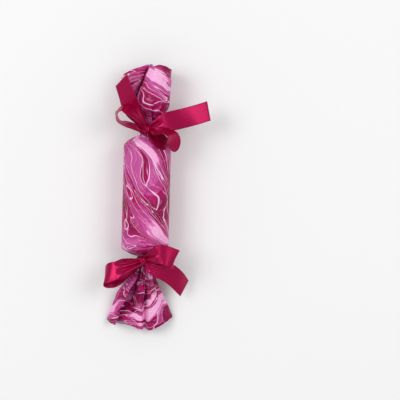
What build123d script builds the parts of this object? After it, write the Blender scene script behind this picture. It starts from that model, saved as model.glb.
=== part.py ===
from build123d import *
import os
from math import asin, atan2, cos, pi, radians, sin, sqrt

# Christmas cracker. A card tube is rolled in a sheet of marbled paper, which is gathered at both
# ends, tied with satin bows and left to fan out. Inside lie a two-strip snap, a rolled paper crown,
# a rolled motto and a turned spinning top.
# Millimetres, +Z up. The cracker lies on a table with its axis along Y. The origin is on the table,
# under the middle of the tube.

# Card tube
tube_diameter = 45.0
tube_wall = 1.2
tube_length = 96.0

# Marbled wrapper
paper_thickness = 0.3
glue_gap = 0.05
lap_width = 12.0
lap_angle = 228.0  # degrees round from +X, on the side that faces the table

# Gathered ends of the wrapper
neck_length = 9.0
neck_radius = 7.2
neck_pleat_depth = 1.25
neck_pleat_fade = 5.0  # power by which the neck's pleats die out along a fan
upper_shoulder_length = 12.5
lower_shoulder_length = 9.5
shoulder_bulge = 2.0  # power of the shoulder's curve, 1 is a straight cone
shoulder_steps = 4
panel_steps = 3  # corners from one fold of the paper to the next
panel_softness = 0.6  # how far a panel curves between its folds, 0 is flat

# Fan beyond each neck: its length along the paper, and its folds part of the way out and at the rim.
# A fold is given by its x and its height above the table, from underneath round by the left. At the
# rim a third value says how far the paper, which is not cut square, stops short there.
upper_fan_length = 61.0
upper_fan_stations = (0.14, 0.28, 0.42, 0.7, 1.0)
upper_middle_place = 0.42
upper_flare = 1.3  # power by which the bell opens early, 1 is a straight cone
upper_middle_folds = (
    (-4.0, 7.0), (-13.0, 9.5), (-18.0, 17.0), (-18.5, 25.0), (-16.0, 30.5), (-14.0, 31.0),
    (-12.0, 25.0), (-12.0, 33.5), (-5.0, 40.0), (7.0, 41.5), (17.5, 36.0), (21.3, 25.0),
    (17.0, 12.0), (6.0, 7.0),
)
upper_rim_folds = (
    (-6.0, 1.0, 1.0), (-19.0, 5.0, 5.5), (-27.0, 15.0, 11.0), (-24.5, 25.0, 8.0), (-16.0, 31.5, 6.0),
    (-8.0, 31.5, 2.5), (-3.5, 25.0, 3.0), (-4.0, 33.0, 3.5), (2.5, 40.0, 4.0), (12.0, 41.5, 2.0),
    (19.5, 34.0, 2.5), (21.5, 22.0, 0.5), (18.0, 9.0, 2.0), (8.0, 1.2, 0.0),
)
lower_fan_length = 65.0
lower_fan_stations = (0.15, 0.5, 1.0)
lower_middle_place = 0.5
lower_flare = 1.0
lower_middle_folds = (
    (-5.0, 8.5), (-13.0, 8.0), (-23.5, 8.5), (-25.0, 12.0), (-23.0, 19.0), (-19.5, 20.0),
    (-19.0, 11.0), (-12.0, 14.0), (-6.0, 18.5), (-1.0, 22.0), (1.2, 14.5), (5.0, 20.5),
    (10.0, 21.5), (15.0, 17.0), (17.8, 10.5), (11.0, 8.0),
)
lower_rim_folds = (
    (-8.0, 0.8, 2.5), (-20.0, 1.0, 1.0), (-34.5, 1.2, 0.5), (-36.0, 4.0, 0.0), (-31.0, 10.0, 0.0),
    (-27.0, 11.0, 0.0), (-27.5, 4.5, 0.0), (-20.0, 8.5, 0.0), (-9.0, 13.0, 1.5), (-1.5, 15.0, 0.0),
    (1.5, 7.5, 0.0), (6.0, 13.5, 0.0), (15.0, 15.0, 3.0), (24.0, 8.5, 6.0), (28.5, 2.5, 7.0),
    (16.0, 0.8, 3.0),
)

# Satin ribbon
ribbon_width = 19.0
ribbon_thickness = 0.35
band_thickness = 0.9  # two turns of gathered ribbon round the neck
band_width = 8.0
band_gap = 0.05
knot_length = 10.0
knot_breadth = 9.0
knot_height = 6.0
knot_round = 2.7
knot_sink = 0.8  # how far the knot is pressed into the band
gathered_width = 6.0  # the ribbon where it enters the knot
gather_reach = 0.6  # share of a loop's reach at which it has its full width
tail_gather_reach = 0.4  # share of a tail's length at which it has its full width
strand_spacing = 2.0  # between a loop's two strands inside the knot
tail_steps = 6  # sections along a tail
upper_left_loop_reach = 32.0
upper_left_loop_opening = 13.0
upper_right_loop_reach = 33.0
upper_right_loop_opening = 12.0
upper_left_tail_length = 53.0
upper_left_tail_arch = 9.0  # height of its arch over the straight way from knot to end
upper_left_tail_drop = 0.0  # from the knot down to its end
upper_right_tail_length = 61.0
upper_right_tail_arch = 3.0
upper_right_tail_drop = 2.0
lower_left_loop_reach = 38.0
lower_left_loop_opening = 13.0
lower_right_loop_reach = 31.0
lower_right_loop_opening = 9.0
lower_left_tail_length = 36.0
lower_left_tail_arch = 5.0
lower_left_tail_drop = 25.0
lower_right_tail_length = 49.0
lower_right_tail_arch = 3.0
lower_right_tail_drop = 21.0

# Snap
strip_width = 7.0
strip_thickness = 0.45
strip_spacing = 0.6
strip_overlap = 40.0
strip_end_gap = 12.0  # from the strip's end to the rim of the fan
strip_end_height = 5.5  # above the table, where a strip lies in the bottom of its fan
patch_length = 10.0
patch_thickness = 0.15
sleeve_length = 22.0
sleeve_wall = 0.25
sleeve_clearance = 0.2

# Contents
content_clearance = 0.3
content_play = 3.0  # free travel along the tube, each way
crown_length = 56.0
crown_core = 2.4
crown_ply = 0.6
crown_pitch = 1.3
crown_half_turns = 8  # even, so that the last half turn lies underneath
crown_offset = -5.0
crown_point_depth = 11.0
crown_points = 8
motto_length = 28.0
motto_core = 1.6
motto_ply = 0.3
motto_pitch = 0.9
motto_half_turns = 6
motto_offset = 8.5
top_diameter = 19.0
top_disc_height = 8.0
top_rim_height = 3.0
top_tip_length = 5.0
top_tip_radius = 0.8
spindle_diameter = 4.0
spindle_length = 18.0
spindle_fit = 0.03

# Places that follow from those sizes
tube_radius = tube_diameter / 2
tube_inner_radius = tube_radius - tube_wall
tube_end = tube_length / 2
wrap_inner_radius = tube_radius + glue_gap
wrap_outer_radius = wrap_inner_radius + paper_thickness
axis_height = wrap_outer_radius
upper_neck_start = tube_end + upper_shoulder_length
upper_neck_middle = upper_neck_start + neck_length / 2
lower_neck_start = tube_end + lower_shoulder_length
lower_neck_middle = lower_neck_start + neck_length / 2
neck_mean_radius = neck_radius - neck_pleat_depth
upper_neck_end = upper_neck_start + neck_length
lower_neck_end = lower_neck_start + neck_length
lap_sweep = lap_width / wrap_outer_radius * 180 / pi
band_inner_radius = neck_radius + band_gap
band_outer_radius = band_inner_radius + band_thickness
knot_centre_height = axis_height + band_outer_radius - knot_sink + knot_height / 2


def across_axis(place):
    """The plane square to the cracker's axis at a place along Y, with Z as its second axis."""
    return Plane.XZ.offset(-place)


def between(start, end, share):
    return start + (end - start) * share


def fold_shares(outlines):
    """Places of the folds round the paper, as shares of its girth, agreed between outlines."""
    shares = [0.0]
    for fold in range(len(outlines[0])):
        step = 0
        for outline in outlines:
            sides = [(outline[index] - outline[index - 1]).length for index in range(len(outline))]
            step += sides[(fold + 1) % len(outline)] / sum(sides) / len(outlines)
        shares.append(shares[-1] + step)
    return shares


def panel_point(outline, fold, share):
    """A place between one fold and the next, on a panel that curves a little."""
    before = outline[fold - 1]
    start = outline[fold]
    end = outline[(fold + 1) % len(outline)]
    after = outline[(fold + 2) % len(outline)]
    flat = between(start, end, share)
    bend = before * 2 - start * 5 + end * 4 - after
    twist = (start - end) * 3 + after - before
    curved = start + (end - before + (bend + twist * share) * share) * (share / 2)
    return between(flat, curved, panel_softness)


def end_rows(shoulder_length, fan_length, stations, middle_place, flare, middle_folds, rim_folds):
    """Rows of corners round the paper, as x, distance along the axis and z, from the tube to the rim."""
    middle = [Vector(x, z - axis_height) for x, z in middle_folds]
    rim = [Vector(x, z - axis_height) for x, z, short in rim_folds]
    lengths = [fan_length - short for x, z, short in rim_folds]
    shares = fold_shares((middle, rim))
    columns = []
    for fold in range(len(rim)):
        for step in range(panel_steps):
            part = step / panel_steps
            turn = radians(lap_angle + lap_sweep) - 2 * pi * between(shares[fold], shares[fold + 1], part)
            around = Vector(cos(turn), sin(turn))
            pleat = cos(pi * (fold + part)) * neck_pleat_depth
            length = between(lengths[fold], lengths[(fold + 1) % len(rim)], part)
            in_middle = panel_point(middle, fold, part)
            at_rim = panel_point(rim, fold, part)
            columns.append((around, pleat, length, in_middle, at_rim))
    rows = []
    for step in range(shoulder_steps):
        share = step / shoulder_steps
        radius = between(wrap_outer_radius, neck_mean_radius, share**shoulder_bulge)
        distance = tube_end + shoulder_length * share
        rows.append([(c[0] * (radius + c[1] * share**2), distance) for c in columns])
    neck_start = tube_end + shoulder_length
    for distance in (neck_start, neck_start + neck_length):
        rows.append([(c[0] * (neck_mean_radius + c[1]), distance) for c in columns])
    reached = 0
    for station in stations:
        row = []
        for column, (last, distance) in zip(columns, rows[-1]):
            around, pleat, length, in_middle, at_rim = column
            if station <= middle_place:
                opened = 1 - (1 - station / middle_place) ** flare
                place = between(around * neck_mean_radius, in_middle, opened)
            else:
                place = between(in_middle, at_rim, (station - middle_place) / (1 - middle_place))
            place += around * (pleat * (1 - station) ** neck_pleat_fade)
            run = length * (station - reached)
            row.append((place, distance + sqrt(run**2 - (place - last).length ** 2)))
        rows.append(row)
        reached = station
    return rows


def inner_row(row):
    """The same row, moved inwards by the thickness of the paper."""
    moved = []
    for index, (place, distance) in enumerate(row):
        arriving = (place - row[index - 1][0]).normalized()
        leaving = (row[(index + 1) % len(row)][0] - place).normalized()
        inwards = Vector(arriving.Y, -arriving.X) + Vector(leaving.Y, -leaving.X)
        moved.append((place + inwards * (2 * paper_thickness / inwards.dot(inwards)), distance))
    return moved


def paper_shell(side, rows):
    """A closed shell of flat triangles: outside, inside, and the paper's two edges."""
    skins = []
    for skin in (rows, [inner_row(row) for row in rows]):
        skins.append(
            [[Vector(p.X, side * along, p.Y + axis_height) for p, along in row] for row in skin]
        )
    outside, inside = skins
    strips = [(outside[index], outside[index + 1]) for index in range(len(rows) - 1)]
    strips += [(inside[index + 1], inside[index]) for index in range(len(rows) - 1)]
    strips += [(inside[0], outside[0]), (outside[-1], inside[-1])]
    faces = []
    for near, far in strips:
        for index in range(len(near)):
            following = (index + 1) % len(near)
            one, two, three, four = near[index], near[following], far[following], far[index]
            if (one - three).length < (two - four).length:
                triangles = (one, two, three), (one, three, four)
            else:
                triangles = (one, two, four), (two, three, four)
            faces += [Face(Wire.make_polygon(corners)) for corners in triangles]
    return Solid(Shell(faces))


def direction(azimuth, elevation):
    """Unit vector at an azimuth from +X and an elevation above the table, in degrees."""
    level = cos(radians(elevation))
    return Vector(
        level * cos(radians(azimuth)), level * sin(radians(azimuth)), sin(radians(elevation))
    )


def ribbon_section(place, along, across, width):
    """The ribbon's thin cross-section at a place on its way."""
    with BuildSketch(Plane(origin=place, x_dir=across, z_dir=along)) as section:
        Rectangle(width, ribbon_thickness)
    return section.sketch


def gathered_share(share, reach):
    """Width of the ribbon at a share of a limb that is full at reach."""
    return between(gathered_width, ribbon_width, min(1, share / reach))


def teardrop(reach, half_opening, half_mouth, mode):
    """A pear-shaped face from the knot: two straight strands that meet a round fold."""
    fold = Vector(reach - half_opening, 0)
    start = Vector(0, half_mouth)
    to_fold = fold - start
    swing = asin(half_opening / to_fold.length)
    turned = atan2(to_fold.Y, to_fold.X) + swing
    touch = start + Vector(cos(turned), sin(turned)) * (to_fold.length * cos(swing))
    with BuildLine() as outline:
        Line(start, touch)
        ThreePointArc(touch, (reach, 0), (touch.X, -touch.Y))
        Line((touch.X, -touch.Y), (0, -half_mouth))
        Line((0, -half_mouth), start)
    make_face(outline.edges(), mode=mode)


def bow_loop(knot, heading, rise, across_azimuth, across_lean, reach, opening):
    """One loop: out of the knot, round a fold at its reach, and back, narrowed where it is gathered."""
    across = direction(across_azimuth, across_lean)
    straight = direction(heading, rise)
    outward = (straight - across * straight.dot(across)).normalized()
    half = ribbon_thickness / 2
    with BuildPart() as loop:
        with BuildSketch(Plane(origin=knot, x_dir=outward, z_dir=across)):
            teardrop(reach + half, opening / 2 + half, strand_spacing / 2 + half, Mode.ADD)
            teardrop(reach - half, opening / 2 - half, strand_spacing / 2 - half, Mode.SUBTRACT)
        extrude(amount=ribbon_width / 2, both=True)
        with BuildSketch(Plane(origin=knot, x_dir=outward, z_dir=across.cross(outward))):
            with BuildLine():
                Polyline(
                    (0, -gathered_width / 2),
                    (reach * gather_reach, -ribbon_width / 2),
                    (reach + opening, -ribbon_width / 2),
                    (reach + opening, ribbon_width / 2),
                    (reach * gather_reach, ribbon_width / 2),
                    (0, gathered_width / 2),
                    close=True,
                )
            make_face()
        extrude(amount=opening, both=True, mode=Mode.INTERSECT)
    return loop.part


def bow_tail(knot, heading, bend, length, arch, drop, lean, end_lean, slant):
    """One tail: out of the knot in a shallow arch to its cut end, turning by bend on the way."""
    place = Vector(knot.X, knot.Y, 0)
    sections = []
    for step in range(tail_steps + 1):
        share = step / tail_steps
        bearing = heading + bend * share
        height = knot.Z - drop * share + arch * 4 * share * (1 - share)
        slope = (arch * 4 * (1 - 2 * share) - drop) / length
        along = (direction(bearing, 0) + Vector(0, 0, slope)).normalized()
        side = direction(bearing + 90, between(lean, end_lean, share))
        across = (side - along * side.dot(along)).normalized()
        cut = radians(slant) if step == tail_steps else 0
        section = ribbon_section(
            Vector(place.X, place.Y, height),
            along * cos(cut) + across * sin(cut),
            across * cos(cut) - along * sin(cut),
            gathered_share(share, tail_gather_reach) / cos(cut),
        )
        sections.append(section)
        place += direction(bearing + bend / tail_steps / 2, 0) * (length / tail_steps)
    with BuildPart() as tail:
        loft(sections)
    return tail.part


def tied_knot(neck_place):
    """The knot, and under it the turns of gathered ribbon that close the neck."""
    with Locations((0, neck_place, knot_centre_height)):
        Box(knot_length, knot_breadth, knot_height)
    fillet(edges(), knot_round)
    with BuildSketch(across_axis(neck_place)) as band:
        with Locations((0, axis_height)):
            Circle(band_outer_radius)
            Circle(band_inner_radius, mode=Mode.SUBTRACT)
    extrude(band.sketch, amount=band_width / 2, both=True)


def snap_strip(side, neck_end, fan_length, top):
    """A strip from its lap, straight to the neck, then down into the bottom of the fan."""
    strip_end = neck_end + fan_length - strip_end_gap
    with BuildSketch(Plane.YZ) as profile:
        with BuildLine():
            Polyline(
                (-side * strip_overlap / 2, top),
                (side * neck_end, top),
                (side * strip_end, strip_end_height + strip_thickness),
                (side * strip_end, strip_end_height),
                (side * neck_end, top - strip_thickness),
                (-side * strip_overlap / 2, top - strip_thickness),
                close=True,
            )
        make_face()
    extrude(profile.sketch, amount=strip_width / 2, both=True)


def roll_radius(core, ply, pitch, half_turns):
    """Outside radius of a rolled sheet, about the middle of its last half turn."""
    return core + ply + pitch / 2 * (half_turns - 1)


def rolled_sheet(centre_x, centre_z, middle, length, core, ply, pitch, half_turns):
    """A sheet rolled up along Y, as half turns that grow by half the pitch, the last one below."""
    with BuildSketch(across_axis(middle + length / 2)) as roll:
        for half_turn in range(half_turns):
            centre = (centre_x - pitch / 2 * (1 - half_turn % 2), centre_z)
            inner = core + pitch / 2 * half_turn
            with BuildLine():
                outside = CenterArc(centre, inner + ply, 180 * (half_turn % 2), 180)
                inside = CenterArc(centre, inner, 180 * (half_turn % 2), 180)
                Line(outside @ 0, inside @ 0)
                Line(outside @ 1, inside @ 1)
            make_face()
    extrude(roll.sketch, amount=length)


def resting_height(radius, offset_x):
    """Height at which a round piece lies in the bottom of the tube, beside the axis."""
    drop = tube_inner_radius - content_clearance - radius
    return axis_height - sqrt(drop**2 - offset_x**2)


# The wrapper round the tube, with its glued lap
with BuildPart() as barrel_wrap:
    with BuildSketch(across_axis(tube_end)):
        with Locations((0, axis_height)):
            Circle(wrap_outer_radius)
            Circle(wrap_inner_radius, mode=Mode.SUBTRACT)
        with BuildLine():
            lap_inside = CenterArc((0, axis_height), wrap_outer_radius, lap_angle, lap_sweep)
            lap_outside = CenterArc(
                (0, axis_height), wrap_outer_radius + paper_thickness, lap_angle, lap_sweep
            )
            Line(lap_inside @ 0, lap_outside @ 0)
            Line(lap_inside @ 1, lap_outside @ 1)
        make_face()
    extrude(amount=tube_length)

# The card tube
with BuildPart() as centre_tube:
    with BuildSketch(across_axis(tube_end)):
        with Locations((0, axis_height)):
            Circle(tube_radius)
            Circle(tube_inner_radius, mode=Mode.SUBTRACT)
    extrude(amount=tube_length)

# The wrapper's upper end: a rounded shoulder, a pleated neck and an open bell with one deep fold
upper_rows = end_rows(
    upper_shoulder_length,
    upper_fan_length,
    upper_fan_stations,
    upper_middle_place,
    upper_flare,
    upper_middle_folds,
    upper_rim_folds,
)
with BuildPart() as upper_end_wrap:
    add(paper_shell(1, upper_rows))

# The wrapper's lower end: a steep shoulder, a pleated neck and a flat fan that lies on the table
lower_rows = end_rows(
    lower_shoulder_length,
    lower_fan_length,
    lower_fan_stations,
    lower_middle_place,
    lower_flare,
    lower_middle_folds,
    lower_rim_folds,
)
with BuildPart() as lower_end_wrap:
    add(paper_shell(-1, lower_rows))

# The upper bow, one length of ribbon
upper_knot = Vector(0, upper_neck_middle, knot_centre_height)
upper_limbs = (
    bow_loop(
        upper_knot,
        heading=171,
        rise=24,
        across_azimuth=261,
        across_lean=54,
        reach=upper_left_loop_reach,
        opening=upper_left_loop_opening,
    ),
    bow_loop(
        upper_knot,
        heading=-26,
        rise=27,
        across_azimuth=226,
        across_lean=45,
        reach=upper_right_loop_reach,
        opening=upper_right_loop_opening,
    ),
    bow_tail(
        upper_knot,
        heading=119,
        bend=0,
        length=upper_left_tail_length,
        arch=upper_left_tail_arch,
        drop=upper_left_tail_drop,
        lean=0,
        end_lean=-38,
        slant=20,
    ),
    bow_tail(
        upper_knot,
        heading=17,
        bend=2,
        length=upper_right_tail_length,
        arch=upper_right_tail_arch,
        drop=upper_right_tail_drop,
        lean=0,
        end_lean=0,
        slant=-10,
    ),
)
with BuildPart() as upper_ribbon:
    tied_knot(upper_neck_middle)
    add(upper_limbs)

# The lower bow, one length of ribbon
lower_knot = Vector(0, -lower_neck_middle, knot_centre_height)
lower_limbs = (
    bow_loop(
        lower_knot,
        heading=203,
        rise=3,
        across_azimuth=293,
        across_lean=36,
        reach=lower_left_loop_reach,
        opening=lower_left_loop_opening,
    ),
    bow_loop(
        lower_knot,
        heading=6,
        rise=23,
        across_azimuth=95,
        across_lean=18,
        reach=lower_right_loop_reach,
        opening=lower_right_loop_opening,
    ),
    bow_tail(
        lower_knot,
        heading=-20,
        bend=-32,
        length=lower_right_tail_length,
        arch=lower_right_tail_arch,
        drop=lower_right_tail_drop,
        lean=0,
        end_lean=-20,
        slant=0,
    ),
    bow_tail(
        lower_knot,
        heading=200,
        bend=14,
        length=lower_left_tail_length,
        arch=lower_left_tail_arch,
        drop=lower_left_tail_drop,
        lean=0,
        end_lean=0,
        slant=15,
    ),
)
with BuildPart() as lower_ribbon:
    tied_knot(-lower_neck_middle)
    add(lower_limbs)

# The snap: two card strips that lap at the tube's middle, inside a paper sleeve
with BuildPart() as snap_upper_strip:
    upper_strip_top = axis_height + strip_spacing / 2 + strip_thickness
    snap_strip(1, upper_neck_end, upper_fan_length, upper_strip_top)

with BuildPart() as snap_lower_strip:
    snap_strip(-1, lower_neck_end, lower_fan_length, axis_height - strip_spacing / 2)

with BuildPart() as snap_friction_patch:
    with Locations((0, 0, axis_height + strip_spacing / 2 - patch_thickness / 2)):
        Box(strip_width, patch_length, patch_thickness)

with BuildPart() as snap_charge:
    with Locations((0, 0, axis_height - strip_spacing / 2 + patch_thickness / 2)):
        Box(strip_width, patch_length, patch_thickness)

with BuildPart() as snap_sleeve:
    sleeve_bore_width = strip_width + 2 * sleeve_clearance
    sleeve_bore_height = strip_spacing + 2 * strip_thickness + sleeve_clearance
    with BuildSketch(across_axis(sleeve_length / 2)):
        with Locations((0, axis_height - sleeve_clearance / 2)):
            Rectangle(sleeve_bore_width + 2 * sleeve_wall, sleeve_bore_height + 2 * sleeve_wall)
            Rectangle(sleeve_bore_width, sleeve_bore_height, mode=Mode.SUBTRACT)
    extrude(amount=sleeve_length)

# The contents, one behind another in the bottom of the tube
crown_radius = roll_radius(crown_core, crown_ply, crown_pitch, crown_half_turns)
crown_middle = -tube_end + content_clearance + content_play + crown_length / 2
crown_height = resting_height(crown_radius, crown_offset)
with BuildPart() as paper_crown:
    rolled_sheet(
        crown_offset,
        crown_height,
        crown_middle,
        crown_length,
        crown_core,
        crown_ply,
        crown_pitch,
        crown_half_turns,
    )
    crown_axis = Plane(origin=(crown_offset, crown_middle + crown_length / 2, crown_height))
    point_half_width = pi * crown_radius / crown_points
    for notch in range(crown_points // 2):
        with BuildSketch(crown_axis.rotated((0, 360 / crown_points * notch, 0))):
            Polygon(
                (-point_half_width, 0), (0, -crown_point_depth), (point_half_width, 0), align=None
            )
        extrude(amount=2 * crown_radius, both=True, mode=Mode.SUBTRACT)

motto_radius = roll_radius(motto_core, motto_ply, motto_pitch, motto_half_turns)
motto_height = resting_height(motto_radius, motto_offset)
with BuildPart() as motto_slip:
    rolled_sheet(
        motto_offset,
        motto_height,
        crown_middle,
        motto_length,
        motto_core,
        motto_ply,
        motto_pitch,
        motto_half_turns,
    )

top_height = resting_height(top_diameter / 2, 0)
crown_stop = crown_middle + crown_length / 2 + content_play
top_start = crown_stop + content_clearance + content_play
top_shoulder = top_start + top_tip_length
top_face = top_shoulder + top_disc_height
with BuildPart() as top_disc:
    with BuildSketch(Plane.YZ):
        with BuildLine():
            tip = (top_start, top_height + top_tip_radius)
            rim_low = (top_shoulder + (top_disc_height - top_rim_height) / 2, top_height + top_diameter / 2)
            rim_high = (rim_low[0] + top_rim_height, rim_low[1])
            hub = (top_face, top_height + spindle_diameter)
            Line((top_start, top_height), tip)
            Line(tip, (top_shoulder, top_height + spindle_diameter))
            Line((top_shoulder, top_height + spindle_diameter), rim_low)
            Line(rim_low, rim_high)
            Line(rim_high, hub)
            Line(hub, (top_face, top_height))
            Line((top_face, top_height), (top_start, top_height))
        make_face()
    revolve(axis=Axis((0, 0, top_height), (0, 1, 0)))
    with BuildSketch(across_axis(top_face)):
        with Locations((0, top_height)):
            Circle(spindle_diameter / 2 + spindle_fit)
    extrude(amount=top_disc_height, mode=Mode.SUBTRACT)

with BuildPart() as top_spindle:
    with BuildSketch(across_axis(top_shoulder)):
        with Locations((0, top_height)):
            Circle(spindle_diameter / 2)
    extrude(amount=-spindle_length)
    fillet(edges().sort_by(Axis.Y)[-1], spindle_diameter / 4)

pieces = {
    "barrel_wrap": barrel_wrap,
    "centre_tube": centre_tube,
    "upper_end_wrap": upper_end_wrap,
    "lower_end_wrap": lower_end_wrap,
    "upper_ribbon": upper_ribbon,
    "lower_ribbon": lower_ribbon,
    "snap_upper_strip": snap_upper_strip,
    "snap_lower_strip": snap_lower_strip,
    "snap_friction_patch": snap_friction_patch,
    "snap_charge": snap_charge,
    "snap_sleeve": snap_sleeve,
    "paper_crown": paper_crown,
    "motto_slip": motto_slip,
    "top_disc": top_disc,
    "top_spindle": top_spindle,
}
os.makedirs("parts", exist_ok=True)
for name, piece in pieces.items():
    piece.part.label = name
    export_step(piece.part, f"parts/{name}.step")
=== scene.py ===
from math import pi, radians, sin, sqrt, tan

import bpy
import numpy as np
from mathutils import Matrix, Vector, noise


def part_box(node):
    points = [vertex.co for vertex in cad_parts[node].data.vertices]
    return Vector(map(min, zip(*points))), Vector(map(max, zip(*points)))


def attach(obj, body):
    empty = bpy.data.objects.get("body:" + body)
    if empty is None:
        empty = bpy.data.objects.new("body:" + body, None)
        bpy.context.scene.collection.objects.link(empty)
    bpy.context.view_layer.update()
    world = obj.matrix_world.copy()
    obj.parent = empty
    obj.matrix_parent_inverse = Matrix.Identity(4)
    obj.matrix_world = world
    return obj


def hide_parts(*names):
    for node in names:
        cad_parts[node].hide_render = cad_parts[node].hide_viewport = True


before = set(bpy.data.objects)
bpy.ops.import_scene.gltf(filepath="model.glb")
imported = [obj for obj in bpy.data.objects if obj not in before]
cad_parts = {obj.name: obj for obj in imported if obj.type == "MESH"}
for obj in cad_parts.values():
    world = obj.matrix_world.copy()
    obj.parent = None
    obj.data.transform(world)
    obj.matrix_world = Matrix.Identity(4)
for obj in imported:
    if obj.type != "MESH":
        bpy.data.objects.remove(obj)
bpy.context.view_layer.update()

# The marbled wrapper, where it lies on the tube: one sheet of thin hand-marbled paper, rolled round
# the card tube and glued along a lap on the side that faces the table. Its inner face shows the
# same swirls, darkened all over as painted shade.
mm = 0.001
paper_thickness = 0.3 * mm
lap_width = 12 * mm
lap_end_angle = radians(258)
lap_step = 3 * mm
barrel_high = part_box("barrel_wrap")[1]
tube_end = barrel_high.y
wrap_radius = barrel_high.x
axis_height = barrel_high.z - wrap_radius
girth = 2 * pi * wrap_radius
sheet_width = girth + lap_width
sheet_columns = 280
barrel_rows = 60
lower_end_length = 93 * mm
upper_end_length = 93 * mm
sheet_length = lower_end_length + 2 * tube_end + upper_end_length


def srgb(red, green, blue):
    """A colour as it is seen, 0 to 255, turned into the linear values that a shader takes."""
    shares = [value / 255 for value in (red, green, blue)]
    return [s / 12.92 if s < 0.04045 else ((s + 0.055) / 1.055) ** 2.4 for s in shares] + [1.0]


def add_node(tree, kind, inputs=None, **settings):
    """A node with its settings made, and its sockets linked or given a value."""
    node = tree.nodes.new(kind)
    for name, value in settings.items():
        setattr(node, name, value)
    for socket, value in (inputs or {}).items():
        if isinstance(value, bpy.types.NodeSocket):
            tree.links.new(value, node.inputs[socket])
        else:
            node.inputs[socket].default_value = value
    return node


def math_node(tree, operation, first, second=0.0):
    """One step of reckoning on two values."""
    return add_node(tree, "ShaderNodeMath", {0: first, 1: second}, operation=operation).outputs[0]


def vector_node(tree, operation, *values):
    """One step of reckoning on vectors."""
    inputs = dict(enumerate(values))
    return add_node(tree, "ShaderNodeVectorMath", inputs, operation=operation).outputs[0]


def ranged(tree, value, low, high, start=0.0, end=1.0):
    """A value carried from one range to another, and held at its ends."""
    inputs = {0: value, 1: low, 2: high, 3: start, 4: end}
    return add_node(tree, "ShaderNodeMapRange", inputs).outputs[0]


def mixed(tree, factor, under, over, blend="MIX"):
    """One colour laid over another, as far as the factor says."""
    inputs = {0: factor, 6: under, 7: over}
    return add_node(tree, "ShaderNodeMix", inputs, data_type="RGBA", blend_type=blend).outputs[2]


def noise_field(tree, vector, seed, scale, detail=0.0, roughness=0.5):
    """Smooth noise, picked by its seed; the two outputs are a value and a colour."""
    inputs = {"Vector": vector, "W": seed, "Scale": scale, "Detail": detail, "Roughness": roughness}
    return add_node(tree, "ShaderNodeTexNoise", inputs, noise_dimensions="4D").outputs


def new_material(name):
    """An empty node material with its surface shader, which the caller fills in."""
    material = bpy.data.materials.new(name)
    material.use_nodes = True
    return material, material.node_tree, material.node_tree.nodes["Principled BSDF"]


def colour_ramp(tree, factor, stops):
    """A ramp through stops of place, colour and cover."""
    ramp = add_node(tree, "ShaderNodeValToRGB", {"Fac": factor})
    elements = ramp.color_ramp.elements
    while len(elements) < len(stops):
        elements.new(1.0)
    for element, (place, colour, cover) in zip(elements, stops):
        element.position = place
        element.color = colour[:3] + [cover]
    return ramp.outputs


def noise_colours(tree, factor, dark, pale):
    """Colours from dark to pale over the span that smooth noise covers."""
    low, high = noise_span
    return colour_ramp(tree, factor, ((low, dark, 1), (high, pale, 1)))["Color"]


def laid_over(tree, under, factor, stops):
    """Colours of a ramp laid over what lies under them, where the ramp covers."""
    over = colour_ramp(tree, factor, stops)
    return mixed(tree, over["Alpha"], under, over["Color"])


def drifted(tree, vector, seed, scale, reach, detail=0.0):
    """A vector pushed about by smooth noise, as colour drifts on the marbling bath."""
    drift = noise_field(tree, vector, seed, scale, detail)["Color"]
    centred = vector_node(tree, "SUBTRACT", drift, (0.5, 0.5, 0.5))
    return vector_node(tree, "MULTIPLY_ADD", centred, reach, vector)


def bump(tree, height, strength, distance):
    """The normal of a surface raised by a height field."""
    inputs = {"Height": height, "Strength": strength, "Distance": distance}
    return add_node(tree, "ShaderNodeBump", inputs).outputs["Normal"]


magenta = srgb(187, 57, 133)
mauve = srgb(199, 80, 155)
rose = srgb(229, 114, 184)
pale_pink = srgb(254, 180, 227)
palest_pink = srgb(253, 206, 238)
crimson = srgb(176, 0, 96)
dark_crimson = srgb(142, 0, 74)
pattern_grain = 6.6 * mm
pattern_centre = (0.43, 0.5, 0.0)  # as shares of the sheet's width and length
pattern_shift = (9.2, 34.5, 0.0)  # the part of the bath that the sheet is laid on, in grains
barrel_slant = radians(51)
bell_slant = radians(14)
fan_slant = radians(-10)
slant_turns_from = 0.75  # from the sheet's middle, in halves of the tube, as the next three are
slant_turned_at = 2.0
fan_starts_at = 0.9
fan_full_at = 1.5
barrel_draw = 0.40
fan_draw = 0.65
bands_per_grain = 1.05
band_unevenness = 3.0
band_contrast = 0.56
tone_span = (0.35, 0.65)
darkest_tone = -0.36
palest_tone = 0.50
barrel_shade = 0.42
fan_shade = 0.30
fan_contrast = 1.8
seam_span = (0.46, 0.66)
thinnest_seam = 0.03
widest_seam = 0.30
vein_pull = (0.45, 1, 1)
streak_pull = (1.2, 7.0, 1.0)
most_worn = 0.78
least_worn = 1.12
noise_span = (0.3, 0.7)  # most of what smooth noise gives lies in here
paper_roughness = (0.40, 0.52)
paper_gloss = 0.18
# how far the inner face's colours are darkened: painted shade standing in for the shadow on that
# side
inside_painted_shade_dimming = 0.72

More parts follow.
